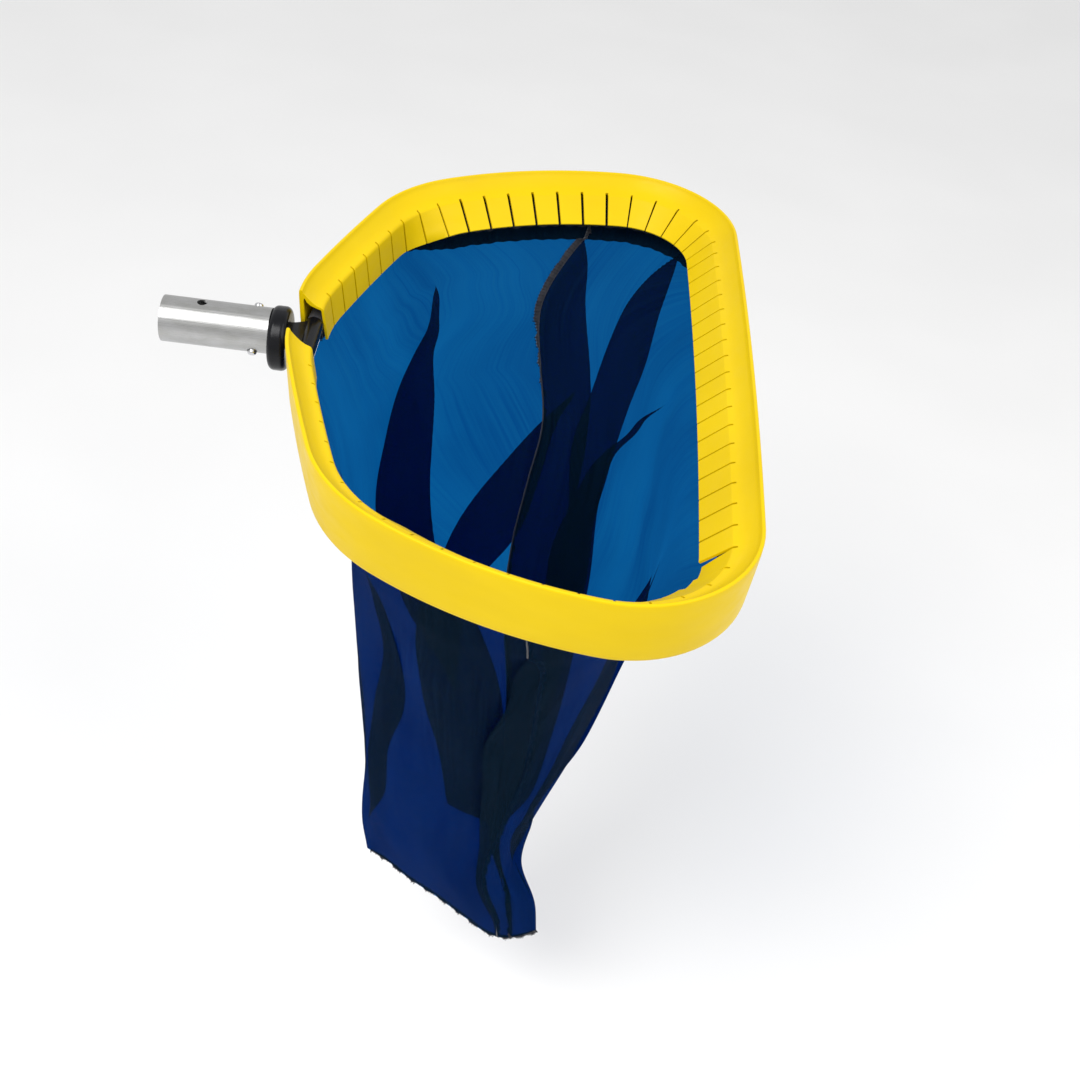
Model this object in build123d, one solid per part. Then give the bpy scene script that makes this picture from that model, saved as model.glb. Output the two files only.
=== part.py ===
from build123d import *
import math
import os

# A leaf skimmer net for a pool pole. All lengths are in millimetres.
# Origin: centre of the pole tip's open rear end. +X runs along the pole towards the
# leading edge of the scoop, +Y to the left of it, +Z up out of the mouth of the bag.

# ---- pole tip -------------------------------------------------------------------
POLE_OD = 31.75
POLE_BORE_R = 14.35
POLE_LENGTH = 74.0
REAMED_FROM_X = 36.0        # the front of the bore is reamed for the handle's spigot
REAMED_R = 14.55
REAR_HOLE_X = 27.0
REAR_HOLE_ANGLE = 92.0      # round the pole, from -Y up towards +Z
POLE_HOLE_R = 3.5

# ---- handle moulding ------------------------------------------------------------
SPIGOT_R = 14.45
SPIGOT_BORE_R = 11.6
SPIGOT_BACK_X = 39.0
FLANGE_R = 22.3
FLANGE_THICKNESS = 12.5
FLANGE_DROP = 5.0           # the flange's centre sits below the pole's axis
FLANGE_EDGE = 4.0
NECK_HALF_WIDTH = 9.5
NECK_HALF_HEIGHT = 5.5
NECK_EDGE = 2.5
SLEEVE_R = 6.5              # cross sleeve that holds both ends of the hoop
SLEEVE_FAR_Y = 17.5
SLEEVE_NEAR_Y = -29.3
SADDLE_HALF_WIDTH = 16.5
SADDLE_MIDDLE = (88.5, 11.0)  # a point of the concave curve from neck to sleeve
HOOP_STOP = 3.0             # half the web between the two ends of the hoop

# ---- snap spring and its buttons ------------------------------------------------
BUTTON_X = 63.0
BUTTON_ANGLE = -40.0        # round the pole, from -Y up towards +Z
BUTTON_R = 3.175
BUTTON_HOLE_R = 3.4
BUTTON_PROUD = 2.6
BUTTON_TIP_EDGE = 1.75
BUTTON_HEAD_R = 4.6
BUTTON_HEAD_THICKNESS = 1.2
SPRING_THICKNESS = 0.8
SPRING_WIDTH = 9.0
SPRING_LEG_OUT = 9.3        # outer face of each leg, from the pole's axis
SPRING_FRONT_X = 69.0
SPRING_BEND_X = 48.0
RIVET_R = 1.5
RIVET_HOLE_R = 1.6
RIVET_LENGTH = 1.4

# ---- outline of the lip's top edge, +Y half, as clockwise arcs -------------------
OUTLINE_START = (89.3, 18.3)
OUTLINE_HEADING = 90.0
OUTLINE_ARCS = [(136.0, 15.3), (1560.0, 3.8), (116.0, 38.3), (316.0, 26.3), (85.0, 94.6)]

# ---- lip section: inward from the outline, and down from its top edge ------------
RIM_Z = 24.0
BAND_HEIGHT = 46.0
BAND_FLARE = 3.0            # the bottom of the outer wall is inboard of its top
WALL = 2.5
DISH = [(2.8, -1.6), (7.0, -6.6), (12.5, -11.2)]   # the hollow behind the rim
CREASE = (17.4, -13.2)      # where the dish turns down into the slats
SLAT_LENGTH = 24.0
SLAT_THICKNESS = 2.0
SLAT_ROOT_IN = 12.8
ROOT_SUNK = 0.15            # the slats' roots lie this far under the dish
HANDLE_SLOPE = 82.0         # degrees below level of the slats beside the handle
LEADING_SLOPE = 44.0        # and of those along the leading edge
SLOPE_TURN = (122.6, 160.9)  # outward angles between which the slope changes
SLOT_IN = 14.4              # slots run from here to the end of the slats
SLOT_WIDTH = 0.9
WIDE_SLOT_WIDTH = 2.0
WIDE_SLOTS = range(9, 16)
SLOT_PITCH = 20.8
FIRST_SLOT = 19.6
FAR_SLOTS = 20
CORNER_SLOTS = 2
CORNER_PITCH = 17.7
RIB_TOP = -32.8
RIB_DEPTH = 2.0
RIB_END = 10.5
NEAR_END_Y = -30.0

# ---- frame hoop and hem ---------------------------------------------------------
HOOP_IN = 11.2
HOOP_DOWN = -26.0
HOOP_R = 4.76
HOOP_WALL = 1.2
HEM_GAP = 0.1
HEM_R = 5.7
HEM_THICKNESS = 1.3
HEM_TURN = (15.6, -31.4)    # where the hem turns down inside the mouth
HEM_DROP = 7.0
HEM_END_CLEARANCE = 1.0

# ---- net bag: level, middle and half size along X, middle and half size along Y ---
BAG_WALL = 1.6
BAG_IN = 16.2               # the bag's top edge, inboard of the outline
BAG_TOP_Z = RIM_Z - 38.8
MOUTH_POINTS = 28           # points of the closed curve round each level of the bag
BAG_LEVELS = [
    (BAG_TOP_Z, 246.8, 141.3, 0.0, 244.9),
    (-55.0, 248.5, 127.5, -2.0, 215.0),
    (-100.0, 249.0, 119.0, -5.0, 190.0),
    (-200.0, 247.0, 111.0, -15.0, 140.0),
    (-300.0, 239.0, 97.0, -30.0, 95.0),
    (-400.0, 229.0, 79.0, -42.0, 60.0),
    (-470.0, 225.0, 72.0, -48.0, 40.0),
    (-540.0, 236.0, 82.0, -52.0, 16.0),
    (-572.0, 240.0, 80.0, -53.0, 7.0),
]
BAG_TWIST = -32.0           # how far the bottom seam leans towards -Y at its +X end
ROUND_DEPTH = 160.0         # the bag's section is a plain oval from this depth down
SEAM_WIDTH = 5.0
SEAM_THICKNESS = 1.6
SEAM_LIFT = 8.0             # the side seams end this far above the bottom seam
SEAM_TURN = 80.0            # plane of the side seams, in degrees from +X
BOTTOM_SEAM_HEIGHT = 9.0
BOTTOM_SEAM_INSET = 3.0
PANEL_GAP = 0.6

# ---- screws ---------------------------------------------------------------------
SCREW_R = 1.6
SCREW_HEAD_R = 3.0
SCREW_HEAD_THICKNESS = 2.0
SCREW_SOCKET_R = 1.3
SCREW_SOCKET_DEPTH = 1.2
SCREW_Y = (12.0, -12.0)
SPOT_FACE = 0.8
SCREW_SHANK = 6.0
SCREW_CLEARANCE = 0.1

HOOP_Z = RIM_Z + HOOP_DOWN
YOKE_X = OUTLINE_START[0] + HOOP_IN


def outline_arcs():
    """Clockwise arcs of the +Y half: centre, radius, start angle and turn in degrees."""
    x, y = OUTLINE_START
    heading = OUTLINE_HEADING
    arcs = []
    for radius, turn in OUTLINE_ARCS:
        a = math.radians(heading)
        centre = (x + radius * math.sin(a), y - radius * math.cos(a))
        arcs.append((centre, radius, heading + 90.0, turn))
        heading -= turn
        end = math.radians(heading + 90.0)
        x = centre[0] + radius * math.cos(end)
        y = centre[1] + radius * math.sin(end)
    # the leading edge is one very flat arc about a centre on the X axis
    a = math.radians(heading)
    radius = y / math.cos(a)
    centre = (x + radius * math.sin(a), 0.0)
    arcs.append((centre, radius, heading + 90.0, heading + 90.0))
    return arcs


ARCS = outline_arcs()


def half_length(inward):
    return sum(math.radians(turn) * (radius - inward) for _, radius, _, turn in ARCS)


def station(distance, inward):
    """Point, and outward angle in degrees, at a distance along the offset outline."""
    half = half_length(inward)
    mirrored = distance > half
    left = 2.0 * half - distance if mirrored else distance
    for centre, radius, start, turn in ARCS:
        length = math.radians(turn) * (radius - inward)
        if left <= length or (centre, radius) == ARCS[-1][:2]:
            angle = start - math.degrees(left / (radius - inward))
            break
        left -= length
    a = math.radians(angle)
    x = centre[0] + (radius - inward) * math.cos(a)
    y = centre[1] + (radius - inward) * math.sin(a)
    return (x, -y, -angle) if mirrored else (x, y, angle)


def swept_round(profile):
    """A section, given as a function of the arc's radius, carried round the outline."""
    solids = []
    for index, (centre, radius, start, turn) in enumerate(ARCS):
        last = index == len(ARCS) - 1
        a = math.radians(start)
        plane = Plane(
            origin=(centre[0], centre[1], 0.0),
            x_dir=(math.cos(a), math.sin(a), 0.0),
            z_dir=(math.sin(a), -math.cos(a), 0.0),
        )
        face = plane * profile(radius)
        axis = Axis((centre[0], centre[1], 0.0), (0.0, 0.0, -1.0))
        solid = revolve(face, axis=axis, revolution_arc=2.0 * turn if last else turn)
        solids.append(solid)
        if not last:
            solids.append(mirror(solid, about=Plane.XZ))
    whole = solids[0]
    for solid in solids[1:]:
        whole = whole + solid
    return whole


def round_pole(angle):
    """Unit direction at an angle round the pole."""
    a = math.radians(angle)
    return Vector(0.0, -math.cos(a), math.sin(a))


def rod(start, direction, length, radius):
    return Plane(origin=start, z_dir=direction) * Cylinder(
        radius, length, align=(Align.CENTER, Align.CENTER, Align.MIN)
    )


def along_x(x0, x1, radius, y=0.0, z=0.0):
    return rod(Vector(x0, y, z), Vector(1, 0, 0), x1 - x0, radius)


def cross_hole(x, angle, radius):
    direction = round_pole(angle)
    return rod(Vector(x, 0, 0) - direction * POLE_OD, direction, 2.0 * POLE_OD, radius)


def pole_tube():
    tube = along_x(0.0, POLE_LENGTH, POLE_OD / 2.0)
    tube -= along_x(-1.0, POLE_LENGTH, POLE_BORE_R)
    tube -= along_x(REAMED_FROM_X, POLE_LENGTH + 1.0, REAMED_R)
    tube -= cross_hole(REAR_HOLE_X, REAR_HOLE_ANGLE, POLE_HOLE_R)
    tube -= cross_hole(BUTTON_X, BUTTON_ANGLE, POLE_HOLE_R)
    return tube


def hoop_run(y0, y1, radius):
    """A round bar along the hoop's own line beside the handle, from y0 to y1."""
    back = OUTLINE_START[1]
    bar = rod(Vector(YOKE_X, -back, HOOP_Z), Vector(0, 1, 0), 2.0 * back, radius)
    centre, arc_radius, _, turn = ARCS[0]
    axis = Axis((centre[0], centre[1], 0.0), (0.0, 0.0, -1.0))
    plane = Plane(origin=(centre[0], centre[1], 0.0), x_dir=(-1, 0, 0), z_dir=(0, 1, 0))
    disc = plane * Pos(arc_radius - HOOP_IN, HOOP_Z) * Circle(radius)
    bend = revolve(disc, axis=axis, revolution_arc=turn)
    bar = bar + bend + mirror(bend, about=Plane.XZ)
    keep = Box(80.0, y1 - y0, 80.0, align=(Align.CENTER, Align.MIN, Align.CENTER))
    return bar & (Pos(YOKE_X, y0, HOOP_Z) * keep)


def saddle():
    """The waisted web between the flange and the cross sleeve."""
    x0 = POLE_LENGTH + FLANGE_EDGE
    x1 = YOKE_X - 2.0
    sides = []
    for side in (1, -1):
        sides.append(
            ThreePointArc(
                (x0, side * NECK_HALF_WIDTH),
                (SADDLE_MIDDLE[0], side * SADDLE_MIDDLE[1]),
                (x1, side * SADDLE_HALF_WIDTH),
            )
        )
    back = Line((x0, NECK_HALF_WIDTH), (x0, -NECK_HALF_WIDTH))
    front = Line((x1, SADDLE_HALF_WIDTH), (x1, -SADDLE_HALF_WIDTH))
    plan = make_face([back, sides[0], front, sides[1]])
    web = Pos(0, 0, HOOP_Z) * extrude(plan, NECK_HALF_HEIGHT, both=True)
    curved = web.edges().filter_by(GeomType.CIRCLE)
    return fillet(curved, NECK_EDGE)


def handle_yoke():
    flange = along_x(POLE_LENGTH, POLE_LENGTH + FLANGE_THICKNESS, FLANGE_R, z=-FLANGE_DROP)
    flange = fillet(flange.edges(), FLANGE_EDGE)
    sleeve = hoop_run(SLEEVE_NEAR_Y, SLEEVE_FAR_Y, SLEEVE_R)
    spigot = along_x(SPIGOT_BACK_X, POLE_LENGTH + FLANGE_EDGE, SPIGOT_R)
    yoke = flange + saddle() + sleeve + spigot
    yoke -= along_x(SPIGOT_BACK_X - 1.0, POLE_LENGTH - 1.0, SPIGOT_BORE_R)
    yoke -= cross_hole(BUTTON_X, BUTTON_ANGLE, BUTTON_HOLE_R)
    for y0, y1 in ((HOOP_STOP, SLEEVE_FAR_Y + 1.0), (SLEEVE_NEAR_Y - 1.0, -HOOP_STOP)):
        yoke -= hoop_run(y0, y1, HOOP_R + HEM_GAP)
    seat_z = HOOP_Z - SLEEVE_R + SPOT_FACE
    for y in SCREW_Y:
        yoke -= rod(Vector(YOKE_X, y, seat_z), Vector(0, 0, 1), SCREW_SHANK + 0.5, SCREW_R)
        recess = SCREW_HEAD_R + 3.0 * SCREW_CLEARANCE
        yoke -= rod(Vector(YOKE_X, y, seat_z), Vector(0, 0, -1), SLEEVE_R, recess)
    return yoke


def frame_screws():
    screws = Part()
    for y in SCREW_Y:
        under = HOOP_Z - SLEEVE_R + SPOT_FACE - SCREW_HEAD_THICKNESS
        head = rod(Vector(YOKE_X, y, under), Vector(0, 0, 1), SCREW_HEAD_THICKNESS, SCREW_HEAD_R)
        socket = rod(Vector(YOKE_X, y, under), Vector(0, 0, 1), SCREW_SOCKET_DEPTH, SCREW_SOCKET_R)
        shank = rod(
            Vector(YOKE_X, y, under + SCREW_HEAD_THICKNESS),
            Vector(0, 0, 1),
            SCREW_SHANK,
            SCREW_R - SCREW_CLEARANCE,
        )
        screws += head + shank - socket
    return screws


def v_spring():
    middle = SPRING_LEG_OUT - SPRING_THICKNESS / 2.0
    direction = round_pole(BUTTON_ANGLE)
    strip = Plane(origin=(0, 0, 0), x_dir=(1, 0, 0), z_dir=Vector(1, 0, 0).cross(direction))
    with BuildLine() as path:
        Line((SPRING_FRONT_X, middle), (SPRING_BEND_X, middle))
        ThreePointArc(
            (SPRING_BEND_X, middle), (SPRING_BEND_X - middle * 0.75, 0), (SPRING_BEND_X, -middle)
        )
        Line((SPRING_BEND_X, -middle), (SPRING_FRONT_X, -middle))
    outer = trace(path.line, SPRING_THICKNESS)
    legs = extrude(strip * outer, SPRING_WIDTH / 2.0, both=True)
    for side in (1, -1):
        legs -= rod(Vector(BUTTON_X, 0, 0), direction * side, POLE_BORE_R, RIVET_HOLE_R)
    return legs


def snap_button(side):
    direction = round_pole(BUTTON_ANGLE) * side
    base = Vector(BUTTON_X, 0, 0) + direction * SPRING_LEG_OUT
    shoulder = rod(base, direction, BUTTON_HEAD_THICKNESS, BUTTON_HEAD_R)
    tip_out = POLE_OD / 2.0 + BUTTON_PROUD
    stem = rod(base, direction, tip_out - SPRING_LEG_OUT, BUTTON_R)
    tip = stem.faces().sort_by(Axis(base, direction))[-1]
    stem = fillet(tip.edges(), BUTTON_TIP_EDGE)
    rivet = rod(base - direction * RIVET_LENGTH, direction, RIVET_LENGTH, RIVET_R)
    return shoulder + stem + rivet


def frame_hoop():
    def ring(radius):
        tube = Circle(HOOP_R) - Circle(HOOP_R - HOOP_WALL)
        return Pos(radius - HOOP_IN, HOOP_Z) * tube

    hoop = swept_round(ring)
    back = OUTLINE_START[1]
    length = back - HOOP_STOP - 0.3
    for side in (1, -1):
        start = Vector(YOKE_X, side * back, HOOP_Z)
        inward = Vector(0, -side, 0)
        stub = rod(start, inward, length, HOOP_R)
        hoop += stub - rod(start, inward, length, HOOP_R - HOOP_WALL)
    for y in SCREW_Y:
        hoop -= rod(Vector(YOKE_X, y, HOOP_Z - SLEEVE_R), Vector(0, 0, 1), SLEEVE_R, SCREW_R)
    return hoop


def lip_section(radius):
    """Outer wall and dished top face, with the rib that keeps the hoop in."""
    slot_down = dish_down(SLOT_IN)
    outline = [
        (0.0, -1.2),
        (1.3, 0.0),
        *DISH,
        (SLOT_IN, slot_down),
        (SLOT_IN, slot_down - WALL),
        (11.5, -13.8),
        (5.6, -9.6),
        (WALL + 0.9, -6.0),
        (WALL + 2.3, RIB_TOP),
        (RIB_END, RIB_TOP),
        (RIB_END, RIB_TOP - RIB_DEPTH),
        (WALL + 2.5, RIB_TOP - RIB_DEPTH),
        (WALL + BAND_FLARE, -BAND_HEIGHT + 0.8),
        (WALL + BAND_FLARE - 0.8, -BAND_HEIGHT),
        (BAND_FLARE + 0.4, -BAND_HEIGHT),
        (BAND_FLARE - 0.2, -BAND_HEIGHT + 1.0),
    ]
    points = [(radius - u, RIM_Z + w) for u, w in outline]
    return make_face(Polyline(*points, close=True))


def dish_down(inward):
    """Height of the dish's top face between its last point and the crease."""
    (u0, w0), (u1, w1) = DISH[-1], CREASE
    return w0 + (w1 - w0) * (inward - u0) / (u1 - u0)


def slat_slope(angle):
    """Slope of the slats, in degrees, where the outline faces outward at an angle."""
    low, high = SLOPE_TURN
    share = min(max((abs(angle) - low) / (high - low), 0.0), 1.0)
    share = share * share * (3.0 - 2.0 * share)
    return LEADING_SLOPE + (HANDLE_SLOPE - LEADING_SLOPE) * share


def slat_section(distance, shift):
    """Section of a slat, a shift along the rim from a distance on the slot line."""
    x, y, angle = station(distance, SLOT_IN)
    a = math.radians(angle)
    dish = math.atan2(DISH[-1][1] - CREASE[1], CREASE[0] - DISH[-1][0])
    slope = math.radians(slat_slope(angle))
    half_bend = (slope - dish) / 2.0
    under = SLAT_THICKNESS / math.cos(half_bend)
    bend_in = under * math.sin(dish + half_bend)
    bend_down = under * math.cos(dish + half_bend)
    end_in = CREASE[0] + SLAT_LENGTH * math.cos(slope)
    end_down = CREASE[1] - SLAT_LENGTH * math.sin(slope)
    root_down = dish_down(SLAT_ROOT_IN) - ROOT_SUNK
    points = [
        (SLAT_ROOT_IN, root_down),
        CREASE,
        (end_in, end_down),
        (
            end_in - SLAT_THICKNESS * math.sin(slope),
            end_down - SLAT_THICKNESS * math.cos(slope),
        ),
        (CREASE[0] - bend_in, CREASE[1] - bend_down),
        (SLAT_ROOT_IN, root_down - SLAT_THICKNESS),
    ]
    plane = Plane(
        origin=(
            x + SLOT_IN * math.cos(a) + shift * math.sin(a),
            y + SLOT_IN * math.sin(a) - shift * math.cos(a),
            RIM_Z,
        ),
        x_dir=(-math.cos(a), -math.sin(a), 0.0),
        z_dir=(-math.sin(a), math.cos(a), 0.0),
    )
    return plane * make_face(Polyline(*points, close=True))


def slot_stations():
    """Distance along the slot line, and width, of each slot from the far end to the near."""
    slots = []
    for index in range(FAR_SLOTS):
        width = WIDE_SLOT_WIDTH if index in WIDE_SLOTS else SLOT_WIDTH
        slots.append((FIRST_SLOT + SLOT_PITCH * index, width))
    last = slots[-1][0]
    for index in range(CORNER_SLOTS):
        slots.append((last + CORNER_PITCH * (index + 1), SLOT_WIDTH))
    last = slots[-1][0] + CORNER_PITCH
    while last < near_end() - SLOT_PITCH / 3.0:
        slots.append((last, SLOT_WIDTH))
        last += SLOT_PITCH
    return slots


def near_end():
    """Distance along the slot line of the lip's near end."""
    return 2.0 * half_length(SLOT_IN) - (abs(NEAR_END_Y) - OUTLINE_START[1])


def scoop_lip():
    edges = [(0.0, 0.0), *slot_stations(), (near_end(), 0.0)]
    slats = []
    for (start, start_gap), (end, end_gap) in zip(edges, edges[1:]):
        sections = [slat_section(start, start_gap / 2.0), slat_section(end, -end_gap / 2.0)]
        slats.append(loft(sections, ruled=True))
    lip = swept_round(lip_section) + slats
    trim = Box(60.0, abs(NEAR_END_Y), 120.0, align=(Align.CENTER, Align.MAX, Align.CENTER))
    return lip - Pos(OUTLINE_START[0], 0, 0) * trim


def bag_hem():
    def section(radius):
        ring = Pos(HOOP_IN, HOOP_DOWN) * (Circle(HEM_R) - Circle(HOOP_R + HEM_GAP))
        turn_in, turn_down = HEM_TURN
        tail = make_face(
            Polyline(
                (HOOP_IN + 1.0, HOOP_DOWN - HEM_R + 0.2),
                (turn_in, turn_down + HEM_THICKNESS / 2.0),
                (turn_in + HEM_THICKNESS, turn_down),
                (turn_in + HEM_THICKNESS, turn_down - HEM_DROP),
                (turn_in, turn_down - HEM_DROP),
                (turn_in - 0.2, turn_down - HEM_THICKNESS / 2.0),
                (HOOP_IN + 1.0, HOOP_DOWN - HEM_R - HEM_THICKNESS + 0.6),
                close=True,
            )
        )
        hole = Pos(HOOP_IN, HOOP_DOWN) * Circle(HOOP_R + HEM_GAP)
        shape = ring + tail - hole
        return Pos(radius, RIM_Z) * mirror(shape, about=Plane.YZ)

    hem = swept_round(section)
    far = SLEEVE_FAR_Y + HEM_END_CLEARANCE
    near = SLEEVE_NEAR_Y - HEM_END_CLEARANCE
    gap = Box(120.0, far - near, 120.0, align=(Align.CENTER, Align.MIN, Align.CENTER))
    return hem - Pos(OUTLINE_START[0], near, 0) * gap


def mouth_shape(count):
    """The bag's top edge as points of -1 to 1 along X and Y, evenly spaced."""
    total = 2.0 * half_length(BAG_IN)
    back = OUTLINE_START[1]
    loop = total + 2.0 * back
    points = []
    for index in range(count):
        distance = loop * (index + 0.5) / count - back
        if distance < 0.0 or distance > total:
            over = distance if distance < 0.0 else distance - loop
            points.append((OUTLINE_START[0] + BAG_IN, over + back))
        else:
            points.append(station(distance, BAG_IN)[:2])
    _, middle, half_x, _, half_y = BAG_LEVELS[0]
    return [((x - middle) / half_x, y / half_y) for x, y in points]


def bag_section(level, inset):
    z, mid_x, half_x, mid_y, half_y = level
    share = (BAG_TOP_Z - z) / (BAG_TOP_Z - BAG_LEVELS[-1][0])
    rounding = min((BAG_TOP_Z - z) / ROUND_DEPTH, 1.0)
    rounding = rounding * rounding * (3.0 - 2.0 * rounding)
    points = []
    for nx, ny in mouth_shape(MOUTH_POINTS):
        out = math.hypot(nx, ny) ** rounding
        nx, ny = nx / out, ny / out
        x = mid_x + (half_x - inset) * nx
        y = mid_y + (half_y - inset) * ny + BAG_TWIST * share * nx
        points.append((x, y, z))
    return make_face(Spline(*points, periodic=True))


def bag_form(inset, floor_lift=0.0):
    levels = list(BAG_LEVELS)
    z, *rest = levels[-1]
    levels[-1] = (z + floor_lift, *rest)
    return loft([bag_section(level, inset) for level in levels])


def seam_slab(thickness):
    """A vertical slab through the bag along the plane of its two side seams."""
    _, middle, _, _, _ = BAG_LEVELS[0]
    return Pos(middle, 0, -300.0) * Rot(0, 0, SEAM_TURN) * Box(900.0, thickness, 900.0)


def net_bag(outer):
    """The two panels of the bag, handle side first."""
    shell = outer - bag_form(BAG_WALL, BAG_WALL * 2.0)
    panels = (shell - seam_slab(PANEL_GAP)).solids()
    return panels.sort_by(Axis.X)


def side_seams(outer):
    """Both side seams, near side first."""
    z, mid_x = BAG_LEVELS[-1][:2]
    band = bag_form(-SEAM_THICKNESS) - outer
    above = Box(900.0, 900.0, 900.0, align=(Align.CENTER, Align.CENTER, Align.MIN))
    strips = (band & seam_slab(SEAM_WIDTH)) & (Pos(mid_x, 0, z + SEAM_LIFT) * above)
    return strips.solids().sort_by(Axis.Y)


def bottom_seam():
    z, mid_x, half_x, mid_y, _ = BAG_LEVELS[-1]
    lean = math.degrees(math.atan2(BAG_TWIST, half_x))
    strip = Box(
        2.0 * math.hypot(half_x, BAG_TWIST) - 2.0 * BOTTOM_SEAM_INSET,
        SEAM_THICKNESS * 2.0,
        BOTTOM_SEAM_HEIGHT,
        align=(Align.CENTER, Align.CENTER, Align.MAX),
    )
    return Pos(mid_x, mid_y, z) * Rot(0, 0, lean) * strip


def main():
    os.makedirs("parts", exist_ok=True)
    bag_outside = bag_form(0.0)
    front_panel, back_panel = net_bag(bag_outside)
    near_seam, far_seam = side_seams(bag_outside)
    parts = {
        "pole_tube": pole_tube(),
        "handle_yoke": handle_yoke(),
        "frame_screws": frame_screws(),
        "v_spring": v_spring(),
        "upper_button": snap_button(-1),
        "lower_button": snap_button(1),
        "frame_hoop": frame_hoop(),
        "scoop_lip": scoop_lip(),
        "bag_hem": bag_hem(),
        "net_front_panel": front_panel,
        "net_back_panel": back_panel,
        "side_seam_near": near_seam,
        "side_seam_far": far_seam,
        "bottom_seam": bottom_seam(),
    }
    for name, part in parts.items():
        export_step(part, f"parts/{name}.step")


if __name__ == "__main__":
    main()
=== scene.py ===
import math

import bmesh
import bpy
import numpy as np
from mathutils import Matrix, Vector


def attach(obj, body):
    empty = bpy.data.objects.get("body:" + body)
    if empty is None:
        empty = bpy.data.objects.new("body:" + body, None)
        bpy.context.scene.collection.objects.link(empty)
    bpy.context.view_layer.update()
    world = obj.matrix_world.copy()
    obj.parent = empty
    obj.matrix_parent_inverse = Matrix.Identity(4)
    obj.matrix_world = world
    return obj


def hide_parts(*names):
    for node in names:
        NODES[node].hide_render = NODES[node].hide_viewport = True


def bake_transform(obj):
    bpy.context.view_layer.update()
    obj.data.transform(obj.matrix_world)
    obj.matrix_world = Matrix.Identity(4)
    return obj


# A leaf skimmer net: a slotted yellow scoop lip over a bent hoop, a long bag of sheer
# blue net, and a snap-button handle on the tip of a pool pole. All lengths in metres.
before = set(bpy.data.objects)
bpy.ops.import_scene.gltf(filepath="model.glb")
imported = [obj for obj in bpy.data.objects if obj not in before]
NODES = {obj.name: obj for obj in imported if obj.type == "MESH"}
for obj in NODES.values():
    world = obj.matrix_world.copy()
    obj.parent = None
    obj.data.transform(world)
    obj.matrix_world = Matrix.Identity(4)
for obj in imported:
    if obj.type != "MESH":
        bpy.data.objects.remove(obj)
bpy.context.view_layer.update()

# ---- the lip's outline, as in the CAD: clockwise arcs of the +Y half ---------------
OUTLINE_START = (0.0893, 0.0183)
OUTLINE_HEADING = 90.0      # degrees from +X
OUTLINE_ARCS = [(0.136, 15.3), (1.560, 3.8), (0.116, 38.3), (0.316, 26.3), (0.085, 94.6)]
RIM_Z = 0.024               # height of the lip's top edge
NEAR_END_Y = -0.030
# sections of the lip and hem: how far in from the outline, and how far above the rim's top
DISH_END = (0.0125, -0.0112)
CREASE = (0.0174, -0.0132)  # where the dish turns down into the slats
CREASE_RADIUS = 0.0034
SLAT_LENGTH = 0.0240
SLAT_THICKNESS = 0.0019
HANDLE_SLOPE = 82.0         # degrees below level of the slats beside the handle
LEADING_SLOPE = 44.0        # and of those along the leading edge
SLOPE_TURN = (122.6, 160.9)  # outward angles between which the slope changes
SLOT_IN = 0.0144
SLOT_WIDTH = 0.0014
WIDE_SLOT_WIDTH = 0.0022
WIDE_SLOTS = range(9, 16)
SLOT_PITCH = 0.0208
FIRST_SLOT = 0.0196
FAR_SLOTS = 20
CORNER_SLOTS = 2
CORNER_PITCH = 0.0177
SPLAYED_SLATS = {40: 8.0, 41: 4.0}   # slats bent down out of line, in degrees
SPLAY_DOWN = -0.014         # height of the line that they are bent about
LIP_STEP = 0.0055           # longest step between sections of the lip
LIP_SHARP_ANGLE = 38.0
SLOT_EDGE_BEVEL = 0.00022

# ---- hem: a binding folded over the hoop, with its two plies hanging below ---------
HOOP_IN = 0.0112
HOOP_DOWN = -0.026
HEM_RING = 0.0053           # radius at which the hem goes round the hoop
HEM_TURN = (0.0156, -0.0314)  # where the plies come together
HEM_DROP = 0.021
HEM_LEAN = 0.24             # how far the free part leans in with the net, per metre of drop
HEM_SHORTER = 0.60          # share of the drop that the hem loses beside the handle
HEM_STITCH_DROP = 0.0062
HEM_PLY = 0.0006
HEM_ENDS = (0.0187, -0.0305)  # Y of the hem's two ends
HEM_STEPS = 620
HEM_WAVES = [(0.00035, 0.0115, 0.0), (0.00025, 0.0273, 1.0)]   # size, length and phase
STITCH_PITCH = 0.0046
STITCH_SHARE = 0.62         # share of the pitch that a stitch takes
STITCH_RADIUS = 0.00024
STITCH_FORM = [(-0.5, -0.0004), (-0.35, 0.0), (0.0, 0.00008), (0.35, 0.0), (0.5, -0.0004)]

# ---- bag: level, middle and half size along X, middle and half size along Y --------
BAG_IN = 0.0162
BAG_TOP_Z = RIM_Z - 0.0388
BAG_LEVELS = [
    (BAG_TOP_Z, 0.2468, 0.1413, 0.000, 0.2449),
    (-0.055, 0.2485, 0.1275, -0.002, 0.215),
    (-0.100, 0.249, 0.119, -0.005, 0.190),
    (-0.200, 0.247, 0.111, -0.015, 0.140),
    (-0.300, 0.239, 0.097, -0.030, 0.095),
    (-0.400, 0.229, 0.079, -0.042, 0.060),
    (-0.470, 0.225, 0.072, -0.048, 0.038),
    (-0.540, 0.236, 0.080, -0.052, 0.013),
    (-0.572, 0.240, 0.080, -0.053, 0.0012),
]
BAG_TWIST = -0.032
ROUND_DEPTH = 0.160         # the bag's section is a plain oval from this depth down
BAG_TUCK = 0.0056           # how far the net runs up inside the hem
BAG_COLUMNS = 760
BAG_ROWS = 236
FORM_STEP = 0.002           # share of the way round between the points that give a direction
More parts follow.
